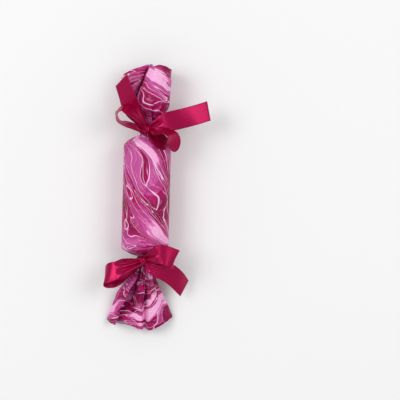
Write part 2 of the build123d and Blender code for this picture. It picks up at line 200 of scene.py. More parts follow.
# Each layer's colours, as the place on its ramp, the colour and how far it covers what is under it.
band_stops = (
    (0.00, dark_crimson, 1),
    (0.08, crimson, 1),
    (0.20, crimson, 1),
    (0.22, magenta, 1),
    (0.48, magenta, 1),
    (0.50, mauve, 1),
    (0.64, mauve, 1),
    (0.66, rose, 1),
    (0.76, rose, 1),
    (0.775, pale_pink, 1),
    (0.92, pale_pink, 1),
)
seam_stops = (
    (0.0, dark_crimson, 1),
    (0.12, dark_crimson, 1),
    (0.16, palest_pink, 1),
    (0.40, palest_pink, 1),
    (0.5, palest_pink, 0),
)
vein_stops = (
    (0.0, palest_pink, 0),
    (0.602, palest_pink, 0),
    (0.606, palest_pink, 1),
    (0.614, palest_pink, 1),
    (0.618, crimson, 1),
    (0.70, dark_crimson, 1),
)
thread_stops = (
    (0.0, palest_pink, 0),
    (0.398, palest_pink, 0),
    (0.402, palest_pink, 1),
    (0.410, palest_pink, 1),
    (0.414, crimson, 1),
    (0.418, crimson, 0),
)
speckle_stops = (
    (0.0, pale_pink, 0),
    (0.57, pale_pink, 0),
    (0.70, pale_pink, 0.55),
)


def bath_under(tree, laid):
    """The bath as it lay under the sheet: stirred broadly, stirred finely, and the share of fan."""
    along = add_node(tree, "ShaderNodeSeparateXYZ", {0: laid}).outputs["Y"]
    half_tube = tube_end / pattern_grain
    on_fan = ranged(tree, along, -fan_full_at * half_tube, -fan_starts_at * half_tube, 1.0, 0.0)
    turns_from = slant_turns_from * half_tube
    turned_at = slant_turned_at * half_tube
    to_bell = ranged(tree, along, turns_from, turned_at, barrel_slant, bell_slant)
    to_fan = ranged(tree, along, -turned_at, -turns_from, fan_slant - barrel_slant, 0.0)
    slant = math_node(tree, "ADD", to_bell, to_fan)
    turned = add_node(
        tree, "ShaderNodeVectorRotate", {"Vector": laid, "Angle": slant}, rotation_type="Z_AXIS"
    ).outputs[0]
    shifted = vector_node(tree, "ADD", turned, pattern_shift)
    draw = ranged(tree, on_fan, 0.0, 1.0, barrel_draw, fan_draw)
    draws = add_node(tree, "ShaderNodeCombineXYZ", {0: draw, 1: 1.0, 2: 1.0}).outputs[0]
    drawn = vector_node(tree, "MULTIPLY", shifted, draws)
    bent = drifted(tree, drawn, seed=3.1, scale=0.24, reach=(0, 6.5, 0))
    stirred = drifted(tree, bent, seed=5.7, scale=0.5, reach=(1.8, 2.1, 0), detail=0.6)
    bath = drifted(tree, stirred, seed=8.2, scale=1.3, reach=(0.25, 0.34, 0), detail=1.0)
    return stirred, bath, on_fan


def band_count(tree, bath):
    """Bands of colour counted across the flow, in uneven steps."""
    across = add_node(tree, "ShaderNodeSeparateXYZ", {0: bath}).outputs["Y"]
    only_across = vector_node(tree, "MULTIPLY", bath, (0, 1, 0))
    uneven = noise_field(tree, only_across, seed=1.3, scale=0.7, detail=1.0)[0]
    return math_node(
        tree,
        "ADD",
        math_node(tree, "MULTIPLY", across, bands_per_grain),
        math_node(tree, "MULTIPLY", uneven, band_unevenness),
    )


def band_shade(tree, count, stirred, on_fan):
    """How pale a band is: by chance, by a broad tone, and with more contrast on the fan."""
    band = math_node(tree, "FLOOR", count)
    chance = add_node(tree, "ShaderNodeTexWhiteNoise", {"W": band}, noise_dimensions="1D")
    tone = noise_field(tree, stirred, seed=4.4, scale=0.24)[0]
    shade = math_node(
        tree,
        "ADD",
        math_node(tree, "MULTIPLY", chance.outputs[0], band_contrast),
        ranged(tree, tone, *tone_span, darkest_tone, palest_tone),
    )
    contrast = ranged(tree, on_fan, 0.0, 1.0, 1.0, fan_contrast)
    mean = ranged(tree, on_fan, 0.0, 1.0, barrel_shade, fan_shade)
    from_mean = math_node(tree, "SUBTRACT", shade, barrel_shade)
    return math_node(tree, "ADD", math_node(tree, "MULTIPLY", from_mean, contrast), mean)


def marbled_paper(name, painted_shade_dimming):
    """Marbling: bands of colour with pale seams between them, then veins, threads, speckles and
    wear streaks; the inner face's copy is darkened as painted shade.
    """
    material, tree, surface = new_material(name)
    sheet = add_node(tree, "ShaderNodeUVMap", uv_map="paper").outputs[0]
    from_centre = vector_node(tree, "SUBTRACT", sheet, pattern_centre)
    sheet_grains = (sheet_width / pattern_grain, sheet_length / pattern_grain, 1)
    laid = vector_node(tree, "MULTIPLY", from_centre, sheet_grains)
    stirred, bath, on_fan = bath_under(tree, laid)
    count = band_count(tree, bath)
    colours = colour_ramp(tree, band_shade(tree, count, stirred, on_fan), band_stops)["Color"]
    seam_noise = noise_field(tree, bath, seed=6.6, scale=0.6)[0]
    seam_width = ranged(tree, seam_noise, *seam_span, thinnest_seam, widest_seam)
    past_seam = math_node(tree, "DIVIDE", math_node(tree, "FRACT", count), seam_width)
    colours = laid_over(tree, colours, past_seam, seam_stops)
    pulled = vector_node(tree, "MULTIPLY", bath, vein_pull)
    veins = noise_field(tree, pulled, seed=7.3, scale=0.85, detail=0.8, roughness=0.45)[0]
    colours = laid_over(tree, colours, veins, vein_stops)
    threads = noise_field(tree, pulled, seed=9.9, scale=0.7, detail=0.6)[0]
    colours = laid_over(tree, colours, threads, thread_stops)
    speckles = noise_field(tree, pulled, seed=12.4, scale=5.0, detail=2.0, roughness=0.6)[0]
    colours = laid_over(tree, colours, speckles, speckle_stops)
    streaks = vector_node(tree, "MULTIPLY", bath, streak_pull)
    streaked = noise_field(tree, streaks, seed=2.2, scale=1.0, detail=3.0, roughness=0.6)[0]
    # wear streaks, which on the inner face also carry the painted shade that darkens it
    wear_and_painted_shade = ranged(tree, streaked, *noise_span, most_worn * painted_shade_dimming, least_worn * painted_shade_dimming)
    colours = mixed(tree, 1.0, colours, wear_and_painted_shade, "MULTIPLY")
    tree.links.new(colours, surface.inputs["Base Color"])
    fibres = noise_field(tree, laid, seed=0.0, scale=24.0, detail=6.0, roughness=0.7)[0]
    dull = ranged(tree, fibres, *noise_span, *paper_roughness)
    tree.links.new(dull, surface.inputs["Roughness"])
    raised = bump(tree, fibres, strength=0.12, distance=0.1 * mm)
    tree.links.new(raised, surface.inputs["Normal"])
    surface.inputs["Specular IOR Level"].default_value = paper_gloss
    return material


paper_outside = marbled_paper("marbled_paper_outside", 1.0)
# the inner face: the same marbling, darkened as painted shade
paper_inside = marbled_paper("marbled_paper_inside", inside_painted_shade_dimming)


def new_tree(name, sizes):
    """A geometry tree with one named input for each size, and the sockets they come from."""
    tree = bpy.data.node_groups.new(name, "GeometryNodeTree")
    tree.interface.new_socket("Geometry", in_out="INPUT", socket_type="NodeSocketGeometry")
    for size, value in sizes.items():
        kind = "NodeSocketInt" if isinstance(value, int) else "NodeSocketFloat"
        tree.interface.new_socket(size, in_out="INPUT", socket_type=kind).default_value = value
    tree.interface.new_socket("Geometry", in_out="OUTPUT", socket_type="NodeSocketGeometry")
    return tree, tree.nodes.new("NodeGroupInput").outputs


def end_tree(tree, geometry, material):
    """Close a geometry tree with real geometry and its material."""
    real = add_node(tree, "GeometryNodeRealizeInstances", {0: geometry})
    dressed = add_node(
        tree, "GeometryNodeSetMaterial", {"Geometry": real.outputs[0], "Material": material}
    )
    add_node(tree, "NodeGroupOutput", {0: dressed.outputs[0]})


def grown(name, tree, sizes):
    """Run a geometry tree with these sizes and keep the result as a plain mesh object."""
    piece = bpy.data.objects.new(name, bpy.data.meshes.new(name))
    bpy.context.scene.collection.objects.link(piece)
    modifier = piece.modifiers.new(tree.name, "NODES")
    modifier.node_group = tree
    for item in tree.interface.items_tree:
        if item.in_out == "INPUT" and item.name in sizes:
            modifier[item.identifier] = sizes[item.name]
    graph = bpy.context.evaluated_depsgraph_get()
    mesh = bpy.data.meshes.new_from_object(piece.evaluated_get(graph))
    piece.modifiers.remove(modifier)
    piece.data = mesh
    mesh.name = name
    return piece


def smooth(mesh):
    """Shade every face of a mesh smooth."""
    mesh.polygons.foreach_set("use_smooth", np.ones(len(mesh.polygons), dtype=bool))


def thicken(piece, thickness, inward=False):
    """Give a bare sheet its thickness, to both sides of it or all of it inward."""
    shell = piece.modifiers.new("thickness", "SOLIDIFY")
    shell.thickness = thickness
    shell.offset = -1 if inward else 0
    return shell


def make_paper(piece):
    """Turn a sheet's outer face into the wrapper's paper, marbled on both faces."""
    piece.data.materials.clear()
    piece.data.materials.append(paper_outside)
    # the inner face takes the copy darkened as painted shade
    piece.data.materials.append(paper_inside)
    shell = thicken(piece, paper_thickness, inward=True)
    shell.material_offset = 1
    shell.material_offset_rim = 0


roll_sizes = {
    "Radius": wrap_radius,
    "Sheet Width": sheet_width,
    "Length": 2 * tube_end,
    "Lap Start": lap_end_angle,
    "Lap Step": lap_step,
    "Paper Thickness": paper_thickness,
    "Axis Height": axis_height,
    "Sheet Length": sheet_length,
    "Sheet Below": lower_end_length,
    "Columns": sheet_columns,
    "Rows": barrel_rows,
}
roll, size = new_tree("rolled_wrapper", roll_sizes)
grid = add_node(
    roll,
    "GeometryNodeMeshGrid",
    {
        "Size X": size["Sheet Width"],
        "Size Y": size["Length"],
        "Vertices X": size["Columns"],
        "Vertices Y": size["Rows"],
    },
)
flat_place = add_node(
    roll, "ShaderNodeSeparateXYZ", {0: add_node(roll, "GeometryNodeInputPosition").outputs[0]}
)
from_edge = math_node(
    roll, "ADD", flat_place.outputs["X"], math_node(roll, "MULTIPLY", size["Sheet Width"], 0.5)
)
turned = math_node(
    roll, "SUBTRACT", size["Lap Start"], math_node(roll, "DIVIDE", from_edge, size["Radius"])
)
once_round = math_node(roll, "MULTIPLY", size["Radius"], 2 * pi)
step_start = math_node(roll, "SUBTRACT", once_round, size["Lap Step"])
lift = add_node(
    roll,
    "ShaderNodeMapRange",
    {0: from_edge, 1: step_start, 2: once_round, 3: 0.0, 4: size["Paper Thickness"]},
    interpolation_type="SMOOTHSTEP",
)
reach = math_node(roll, "ADD", size["Radius"], lift.outputs[0])
rolled_place = add_node(
    roll,
    "ShaderNodeCombineXYZ",
    {
        0: math_node(roll, "MULTIPLY", reach, math_node(roll, "COSINE", turned)),
        1: flat_place.outputs["Y"],
        2: math_node(
            roll,
            "ADD",
            size["Axis Height"],
            math_node(roll, "MULTIPLY", reach, math_node(roll, "SINE", turned)),
        ),
    },
)
half_length = math_node(roll, "MULTIPLY", size["Length"], 0.5)
from_below = math_node(
    roll,
    "ADD",
    math_node(roll, "ADD", flat_place.outputs["Y"], half_length),
    size["Sheet Below"],
)
print_place = add_node(
    roll,
    "ShaderNodeCombineXYZ",
    {
        0: math_node(roll, "DIVIDE", from_edge, size["Sheet Width"]),
        1: math_node(roll, "DIVIDE", from_below, size["Sheet Length"]),
    },
)
printed = add_node(
    roll,
    "GeometryNodeStoreNamedAttribute",
    {"Geometry": grid.outputs[0], "Name": "paper", "Value": print_place.outputs[0]},
    data_type="FLOAT2",
    domain="CORNER",
)
rolled = add_node(
    roll,
    "GeometryNodeSetPosition",
    {"Geometry": printed.outputs[0], "Position": rolled_place.outputs[0]},
)
end_tree(roll, rolled.outputs[0], paper_outside)
barrel = grown("barrel_paper", roll, roll_sizes)
smooth(barrel.data)
make_paper(barrel)
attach(barrel, "barrel")
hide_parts("barrel_wrap")

# The wrapper's two gathered ends: the same sheet carried past the tube, pulled in at a neck where
# its pleats crowd together, and left to spring open again. The upper end stands as a round bell
# with one deep fold, the lower one lies on the table as a flat fan of a few wide pleats.
upper_shoulder = 12.5 * mm
lower_shoulder = 9.5 * mm
shoulder_bulge = 2.0
shoulder_sink = 0.45
deepest_gather = 3.4 * mm
gather_hold = 3  # power by which the gathers stay deep on their way to the neck
neck_length = 9 * mm
neck_mean_radius = 5.5 * mm
neck_waist = 0.4 * mm
deepest_pleat = 1.7 * mm
pleats_per_fold = 1.0
pleat_roundness = 0.8
mean_pleat = 0.80
pleat_variety = 0.25
wide_wander = 0.10  # how far pleats stray from even spacing, in pleats
fine_wander = 0.07
pleat_fade = 3.5  # power by which the neck's pleats die out along the bell or fan
throat_gather = 4.5 * mm
throat_fade = 4
throat_scale = 12.2  # brings the gathers beyond the neck to their full depth where they are deepest
least_advance = 0.25
shoulder_rows = 44
neck_rows = 14
fan_rows = 84
row_blend = 6
column_blend = 8
crumples = ((9 * mm, 0.8 * mm), (3.5 * mm, 0.3 * mm))  # grain and depth
crumple_seed = 5
noise.seed_set(crumple_seed)
upper_neck = tube_end + upper_shoulder + neck_length / 2
lower_neck = -(tube_end + lower_shoulder + neck_length / 2)


def ridged(turn):
    """A wave from -1 to 1 with round ridges and narrow, creased valleys."""
    return 2 * np.abs(np.sin(turn / 2)) ** pleat_roundness - 1


def swell(share, waves, start):
    """A number of slow waves round the sheet, from -1 to 1."""
    return np.sin(2 * pi * (waves * share + start))


def pleat_wave(share, folds):
    """Pleats round the sheet, one to a fold, with uneven spacing and size."""
    wander = wide_wander * swell(share, 3, 0.2) + fine_wander * swell(share, 7, 0.6)
    pleats = ridged(2 * pi * pleats_per_fold * (folds + wander))
    return pleats * (mean_pleat + pleat_variety * swell(share, 5, 0.35))


def fold_shares(*outlines):
    """Where the folds lie round the sheet, as shares of its girth, agreed between outlines."""
    steps = np.zeros(len(outlines[0]))
    for outline in outlines:
        sides = np.linalg.norm(np.roll(outline, -1, axis=0) - outline, axis=1)
        steps += sides / sides.sum() / len(outlines)
    return np.concatenate(([0.0], np.cumsum(steps)))


def curve_through(before, start, end, after, part):
    """A smooth curve from start to end that also heeds the values on either side of them."""
    return start + 0.5 * part * (
        end
        - before
        + part
        * (2 * before - 5 * start + 4 * end - after + part * (3 * (start - end) + after - before))
    )


def follow_outline(outline, fold, part, softness):
    """Points on a closed outline, between straight panels (softness 0) and a smooth curve (1)."""
    count = len(outline)
    before, start = outline[fold - 1], outline[fold]
    end, after = outline[(fold + 1) % count], outline[(fold + 2) % count]
    part = part.reshape((-1,) + (1,) * (outline.ndim - 1))
    straight = start + (end - start) * part
    curved = curve_through(before, start, end, after, part)
    return straight + (curved - straight) * softness


def ease(share):
    """A share from 0 to 1 that starts and ends gently."""
    return share * share * (3 - 2 * share)


def softened(rows, reach):
    """Values averaged with their neighbours along the first axis, the ends held."""
    window = np.hanning(2 * reach + 3)[1:-1]
    padded = np.concatenate((np.repeat(rows[:1], reach, 0), rows, np.repeat(rows[-1:], reach, 0)))
    shares = enumerate(window / window.sum())
    return sum(share * padded[start : start + len(rows)] for start, share in shares)


def crumpled(points, grain, depth):
    """How far noise pushes points about, as thin paper gives when it is handled."""
    pushes = [noise.noise_vector(Vector(point / grain)) for point in points.reshape(-1, 3)]
    return np.array(pushes).reshape(points.shape) * depth


def sheet_mesh(name, points, across, along, layer):
    """A mesh from rows of points, with the place of each on the flat sheet as its UV map."""
    rows, columns = points.shape[:2]
    corners = np.arange(rows * columns).reshape(rows, columns)
    faces = np.stack(
        (corners[:-1, :-1], corners[:-1, 1:], corners[1:, 1:], corners[1:, :-1]), axis=-1
    ).reshape(-1, 4)
    mesh = bpy.data.meshes.new(name)
    mesh.from_pydata(points.reshape(-1, 3).tolist(), [], faces.tolist())
    flat = np.stack(np.broadcast_arrays(across[None, :], along[:, None]), axis=-1).reshape(-1, 2)
    uv = mesh.uv_layers.new(name=layer)
    uv.data.foreach_set("uv", flat[faces.reshape(-1)].astype(np.float32).reshape(-1))
    smooth(mesh)
    return mesh


def tied_rows(around, pleats, pleat_count, shoulder):
    """Sections of the shoulder and the neck, and how far from the tube's middle they lie."""
    sections = []
    places = []
    for step in np.linspace(0, 1, shoulder_rows, endpoint=False):
        radius = wrap_radius + (neck_mean_radius - wrap_radius) * step**shoulder_bulge
        slack = sqrt((wrap_radius / radius) ** 2 - 1)
        deepest = deepest_gather + (deepest_pleat - deepest_gather) * step**gather_hold
        folds = min(pi * radius / (2 * pleat_count) * slack, deepest)
        sunk = pleats - shoulder_sink * sin(pi * step)
        sections.append(around * (radius + folds * sunk)[:, None])
        places.append(np.full(sheet_columns, tube_end + shoulder * step))
    for step in np.linspace(0, 1, neck_rows, endpoint=False):
        waist = neck_waist * sin(pi * step)
        sections.append(around * (neck_mean_radius - waist + deepest_pleat * pleats)[:, None])
        places.append(np.full(sheet_columns, tube_end + shoulder + neck_length * step))
    return np.array(sections), np.array(places)


def opened_rows(around, pleats, at_middle, at_rim, middle_place, flare):
    """Sections from the neck to a middle outline and on to the rim, the pleats dying out."""
    at_neck = around * neck_mean_radius
    sections = []
    for step in np.linspace(0, 1, fan_rows):
        if step < middle_place:
            opened = 1 - (1 - step / middle_place) ** flare
            sections.append(at_neck + (at_middle - at_neck) * opened)
        else:
            onward = (step - middle_place) / (1 - middle_place)
            sections.append(at_middle + (at_rim - at_middle) * onward)
    fan = softened(np.array(sections), row_blend)
    opening = np.linspace(0, 1, fan_rows)[:, None, None]
    fan += around * (deepest_pleat * pleats)[:, None] * (1 - opening) ** pleat_fade
    gathers = around * (throat_gather * (pleats - 1) / 2)[:, None]
    fan += gathers * throat_scale * opening * (1 - opening) ** throat_fade
    return fan


def paper_advance(fan, lengths, share, once):
    """How far each step along the paper leads away from the tube, its way sideways taken off."""
    paper_step = lengths / (fan_rows - 1)
    sideways = np.linalg.norm(np.diff(fan, axis=0), axis=2)
    forward = np.sqrt(np.maximum(paper_step**2 - sideways**2, (least_advance * paper_step) ** 2))
    ring = forward[:, once]
    ring = np.concatenate((ring[:, -column_blend:], ring, ring[:, :column_blend]), axis=1)
    ring = softened(ring.T, column_blend).T[:, column_blend:-column_blend]
    return np.array([np.interp(share, share[once], row, period=1) for row in ring])


def gathered_end(name, side, shoulder, fan_length, middle_place, flare, softness, middle, rim):
    """One end of the wrapper, from the tube's mouth over the shoulder and the neck to its rim."""
    columns = np.linspace(0, sheet_width, sheet_columns)
    share = (columns % girth) / girth
    angle = lap_end_angle - 2 * pi * share
    around = np.stack((np.cos(angle), np.sin(angle)), axis=-1)
    middle = np.array(middle) * mm - (0, axis_height)
    lengths = fan_length - np.array(rim)[:, 2] * mm
    rim = np.array(rim)[:, :2] * mm - (0, axis_height)
    shares = fold_shares(middle, rim)
    fold = np.clip(np.searchsorted(shares, share, side="right") - 1, 0, len(rim) - 1)
    part = (share - shares[fold]) / (shares[fold + 1] - shares[fold])
    pleats = pleat_wave(share, fold + part)
    tied, places = tied_rows(around, pleats, pleats_per_fold * len(rim), shoulder)
    at_middle = follow_outline(middle, fold, part, softness)
    at_rim = follow_outline(rim, fold, part, softness)
    fan = opened_rows(around, pleats, at_middle, at_rim, middle_place, flare)
    forward = paper_advance(fan, follow_outline(lengths, fold, part, 1.0), share, columns < girth)
    start = np.full((1, sheet_columns), tube_end + shoulder + neck_length)
    distance = np.concatenate((places, start, start + np.cumsum(forward, axis=0)))
    sections = np.concatenate((tied, fan))
    points = np.stack((sections[..., 0], side * distance, sections[..., 1] + axis_height), axis=-1)
    steps = np.linalg.norm(np.diff(points, axis=0), axis=2).mean(axis=1)
    along = np.concatenate(([0.0], np.cumsum(steps)))
    loose = np.clip(along / (shoulder + neck_length), 0, 1)[:, None, None]
    for grain, depth in crumples:
        points = points + crumpled(points, grain, depth) * loose
    past = np.clip((columns - girth + lap_step) / lap_step, 0, 1)
    outward = np.stack((around[:, 0], np.zeros(sheet_columns), around[:, 1]), axis=-1)
    points = points + outward[None] * (paper_thickness * ease(past))[None, :, None]
    points[..., 2] = np.maximum(points[..., 2], 2 * paper_thickness)
    print_start = lower_end_length + (2 * tube_end if side > 0 else 0)
    printed_along = (print_start + side * along) / sheet_length
    mesh = sheet_mesh(name, points, columns / sheet_width, printed_along, "paper")
    if side < 0:
        mesh.flip_normals()
    piece = bpy.data.objects.new(name, mesh)
    bpy.context.scene.collection.objects.link(piece)
    make_paper(piece)
    return piece


# Folds as x and height in millimetres, from under the lap round by the left and over the top. At
# the rim a third value is how far the paper, which is not cut square, stops short there.
bell_middle = (
    (-4, 7), (-13, 9.5), (-18, 17), (-18.5, 24), (-17, 28.5), (-14, 26), (-11, 19), (-12.8, 32),
    (-5, 40), (7, 41.5), (17.5, 36), (21.3, 25), (17, 12), (6, 7),
)
bell_rim = (
    (-6, 1, 6), (-19, 5, 11), (-27, 15, 12.5), (-24, 24, 10), (-14, 29.5, 6.5), (-3.5, 27, 3),
    (3, 19.5, -1), (1, 33, 0.5), (6.5, 40, 1.5), (14, 41.5, 1.8), (20, 34, 3.6), (21.5, 22, 4),
    (18, 9, 5), (8, 1.2, 5),
)
upper_end = gathered_end(
    "upper_end_paper",
    side=1,
    shoulder=upper_shoulder,
    fan_length=63.5 * mm,
    middle_place=0.42,
    flare=1.3,
    softness=0.75,
    middle=bell_middle,
    rim=bell_rim,
)
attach(upper_end, "bell_end")
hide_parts("upper_end_wrap")

fan_middle = (
    (-5, 8.5), (-13, 8), (-23.5, 8.5), (-25, 12), (-23, 19), (-17.5, 21.5), (-18, 7.5), (-10, 7.5),
    (-6, 20), (-1, 22), (1.2, 13.5), (5, 20.5), (10, 21.5), (15, 17), (17.8, 10.5), (11, 8),
)
fan_rim = (
    (-8, 0.8, 2.5), (-20, 1, 1), (-34.5, 1.2, 0.5), (-36, 4, 0), (-31, 10, 0), (-27, 11, 0),
    (-28.5, 4.5, 0), (-20, 8.5, 0), (-9, 13, 1.5), (-1.5, 15, 0), (1.5, 6.5, 0), (6, 13.5, 0),
    (15, 15, 3), (24, 8.5, 6), (28.5, 2.5, 7), (16, 0.8, 3),
)
lower_end = gathered_end(
    "lower_end_paper",
    side=-1,
    shoulder=lower_shoulder,
    fan_length=65 * mm,
    middle_place=0.5,
    flare=1.0,
    softness=0.4,
    middle=fan_middle,
    rim=fan_rim,
)
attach(lower_end, "fan_end")
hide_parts("lower_end_wrap")

# The two bows: each is one length of crimson double-face satin ribbon, 19 mm wide, taken twice
# round the neck, drawn tight and tied. Where a loop or tail enters the knot the ribbon is crushed
# into lengthwise folds, and away from it the satin springs flat again.
ribbon_width = 19 * mm
ribbon_thickness = 0.35 * mm
ribbon_columns = 29
ribbon_across = np.linspace(-0.5, 0.5, ribbon_columns)
least_width_share = 0.2
flat_share = 0.93
crush_folds = 2.0
crush_start = 0.13
crush_share = 0.75
deepest_crush = 2.2 * mm
cut_from = 0.6  # share of a tail's length at which its slanting cut starts to tell
neck_band_radius = 7.75 * mm
neck_band_width = 8 * mm
neck_band_creases = 3.5
neck_crease_depth = 0.32 * mm
neck_crease_wander = 0.5
neck_edge_drop = 0.5 * mm
neck_band_sway = 0.5 * mm
knot_half_length = 4.2 * mm
knot_half_height = 3.7 * mm
knot_width = 7.5 * mm
knot_pinch = 0.45
knot_creases = 3
knot_crease_depth = 0.38 * mm
knot_crease_wander = 0.9
knot_spread = 0.2
satin_deep = srgb(152, 0, 60)
satin_bright = srgb(174, 0, 72)
satin_gleam = srgb(255, 176, 214)
satin_roughness = (0.25, 0.33)
satin_metal = 0.5
satin_sweep = 0.5
satin_gloss = 0.6
thread_counts = (90.0, 3.0, 1.0)  # across the ribbon, and along a piece as long as it is wide
woven_edge = srgb(120, 0, 44)
woven_edge_span = (0.455, 0.47)  # from the ribbon's middle, as shares of its width
woven_edge_cover = 0.35
woven_edge_dullness = 0.15


def satin(name):
    """Satin: deep crimson floats lying along the ribbon, a pink gleam, and a woven edge."""
    material, tree, surface = new_material(name)
    strip = add_node(tree, "ShaderNodeUVMap", uv_map="strip").outputs[0]
    threads = vector_node(tree, "MULTIPLY", strip, thread_counts)
    floats = noise_field(tree, threads, seed=0.0, scale=1.0, detail=3.0, roughness=0.6)[0]
    colours = noise_colours(tree, floats, satin_deep, satin_bright)
    across = add_node(tree, "ShaderNodeSeparateXYZ", {0: strip}).outputs["X"]
    from_middle = math_node(tree, "ABSOLUTE", math_node(tree, "SUBTRACT", across, 0.5))
    edge = ranged(tree, from_middle, *woven_edge_span)
    cover = math_node(tree, "MULTIPLY", edge, woven_edge_cover)
    tree.links.new(mixed(tree, cover, colours, woven_edge), surface.inputs["Base Color"])
    floats_dull = ranged(tree, floats, *noise_span, *satin_roughness)
    edge_dull = math_node(tree, "MULTIPLY", edge, woven_edge_dullness)
    dull = math_node(tree, "ADD", floats_dull, edge_dull)
    tree.links.new(dull, surface.inputs["Roughness"])
    raised = bump(tree, floats, strength=0.15, distance=0.05 * mm)
    tree.links.new(raised, surface.inputs["Normal"])
    tangent = add_node(tree, "ShaderNodeTangent", direction_type="UV_MAP", uv_map="strip")
    tree.links.new(tangent.outputs[0], surface.inputs["Tangent"])
    surface.inputs["Anisotropic"].default_value = satin_sweep
    surface.inputs["Metallic"].default_value = satin_metal
    surface.inputs["Specular IOR Level"].default_value = satin_gloss
    surface.inputs["Specular Tint"].default_value = satin_gleam
    return material


satin_ribbon = satin("satin_ribbon")


def heading(azimuth, lean):
    """Unit vectors at azimuths round from +X and leans above the table, in degrees."""
    turn, rise = np.radians(azimuth), np.radians(lean)
    level = np.cos(rise)
    return np.stack((level * np.cos(turn), level * np.sin(turn), np.sin(rise)), axis=-1)


def through(values, rows):
    """A smooth curve through a list of values, sampled evenly between its first and last."""
    values = np.asarray(values, dtype=float)
    padded = np.concatenate((2 * values[:1] - values[1:2], values, 2 * values[-1:] - values[-2:-1]))
    place = np.linspace(0, len(values) - 1, rows)
    index = np.minimum(place.astype(int), len(values) - 2)
    part = (place - index).reshape((-1,) + (1,) * (values.ndim - 1))
    before, start, end, after = (padded[index + offset] for offset in range(4))
    return curve_through(before, start, end, after, part)


def unit(vectors):
    """Vectors brought to a length of 1."""
    return vectors / np.linalg.norm(vectors, axis=-1, keepdims=True)


def crush_depth(width):
    """Height of the folds that take up what the ribbon loses in width."""
    spare = np.sqrt(2 * np.maximum((flat_share * ribbon_width / width) ** 2 - 1, 0))
    return crush_share * np.minimum(width / (2 * pi * crush_folds) * spare, deepest_crush)


def limb(rows, stations, slant=0.0):
    """A loop or tail of the bow, and the slant of its cut in degrees.

    A station is x, y from the neck and z in millimetres, the azimuth and lean of the ribbon's
    width, and the share of that width that is left.
    """
    table = np.array(stations, dtype=float)
    middle = through(table[:, :3] * mm, rows)
    along = unit(np.gradient(middle, axis=0))
    lie = through(heading(table[:, 3], table[:, 4]), rows)
    across = unit(lie - along * (lie * along).sum(axis=1, keepdims=True))
    face = np.cross(along, across)
    width = through(table[:, 5], rows).clip(least_width_share, 1.0) * ribbon_width
    fold_turn = 2 * pi * crush_folds * (ribbon_across[None, :] + crush_start)
    folds = crush_depth(width)[:, None] * np.cos(fold_turn)
    near_cut = np.clip((np.linspace(0, 1, rows) - cut_from) / (1 - cut_from), 0, 1)
    cut = tan(radians(slant)) * ease(near_cut)
    return (
        middle[:, None, :]
        + across[:, None, :] * (ribbon_across[None, :, None] * width[:, None, None])
        + face[:, None, :] * folds[..., None]
        + along[:, None, :] * (cut[:, None] * ribbon_across[None, :] * width[:, None])[..., None]
    )


def neck_turns(rows=96):
    """The turns of crushed ribbon round the neck."""
    angle = np.linspace(0, 2 * pi, rows)
    across = ribbon_across[None, :]
    wander = neck_crease_wander * np.sin(2 * angle)[:, None]
    creases = neck_crease_depth * np.cos(2 * pi * neck_band_creases * across + wander)
    radius = neck_band_radius + creases - neck_edge_drop * (2 * across) ** 4
    place = neck_band_width * across + neck_band_sway * np.sin(angle + 0.6)[:, None]
    return np.stack(
        (
            radius * np.cos(angle)[:, None],
            np.broadcast_to(place, radius.shape),
            axis_height + radius * np.sin(angle)[:, None],
        ),
        axis=-1,
    )


def knot_turn(centre, turn, rows=72):
    """The crushed ribbon that passes over the knot and holds the loops."""
    angle = np.linspace(0, 2 * pi, rows)
    across = ribbon_across[None, :]
    pinch = 1 - knot_pinch * (2 * across) ** 2
    wander = knot_crease_wander * np.sin(angle + 0.4)[:, None]
    creases = knot_crease_depth * np.cos(2 * pi * knot_creases * across + wander)
    run = (knot_half_length * pinch + creases) * np.cos(angle)[:, None]
    rise = (knot_half_height * pinch + creases) * np.sin(angle)[:, None]
    sideways = knot_width * across * (1 + knot_spread * np.cos(2 * angle))[:, None]
    lead, side = heading(turn, 0), heading(turn - 90, 0)
    up = np.array((0, 0, 1))
    return (
        np.array(centre) * mm
        + lead * run[..., None]
        + side * sideways[..., None]
        + up * rise[..., None]
    )


def bow(name, neck_place, strips):
    """One ribbon from its strips, and its length when it is pulled straight."""
    meshes = []
    length = 0.0
    for strip in strips:
        spine = strip[:, ribbon_columns // 2]
        run = np.concatenate(([0.0], np.cumsum(np.linalg.norm(np.diff(spine, axis=0), axis=1))))
        across = np.linspace(0, 1, ribbon_columns)
        placed = strip + (0, neck_place, 0)
        meshes.append(sheet_mesh(name, placed, across, (length + run) / ribbon_width, "strip"))
        length += run[-1]
    pieces = [bpy.data.objects.new(name, mesh) for mesh in meshes]
    for piece in pieces:
        bpy.context.scene.collection.objects.link(piece)
    with bpy.context.temp_override(active_object=pieces[0], selected_editable_objects=pieces):
        bpy.ops.object.join()
    thicken(pieces[0], ribbon_thickness)
    pieces[0].data.materials.append(satin_ribbon)
    return pieces[0], length


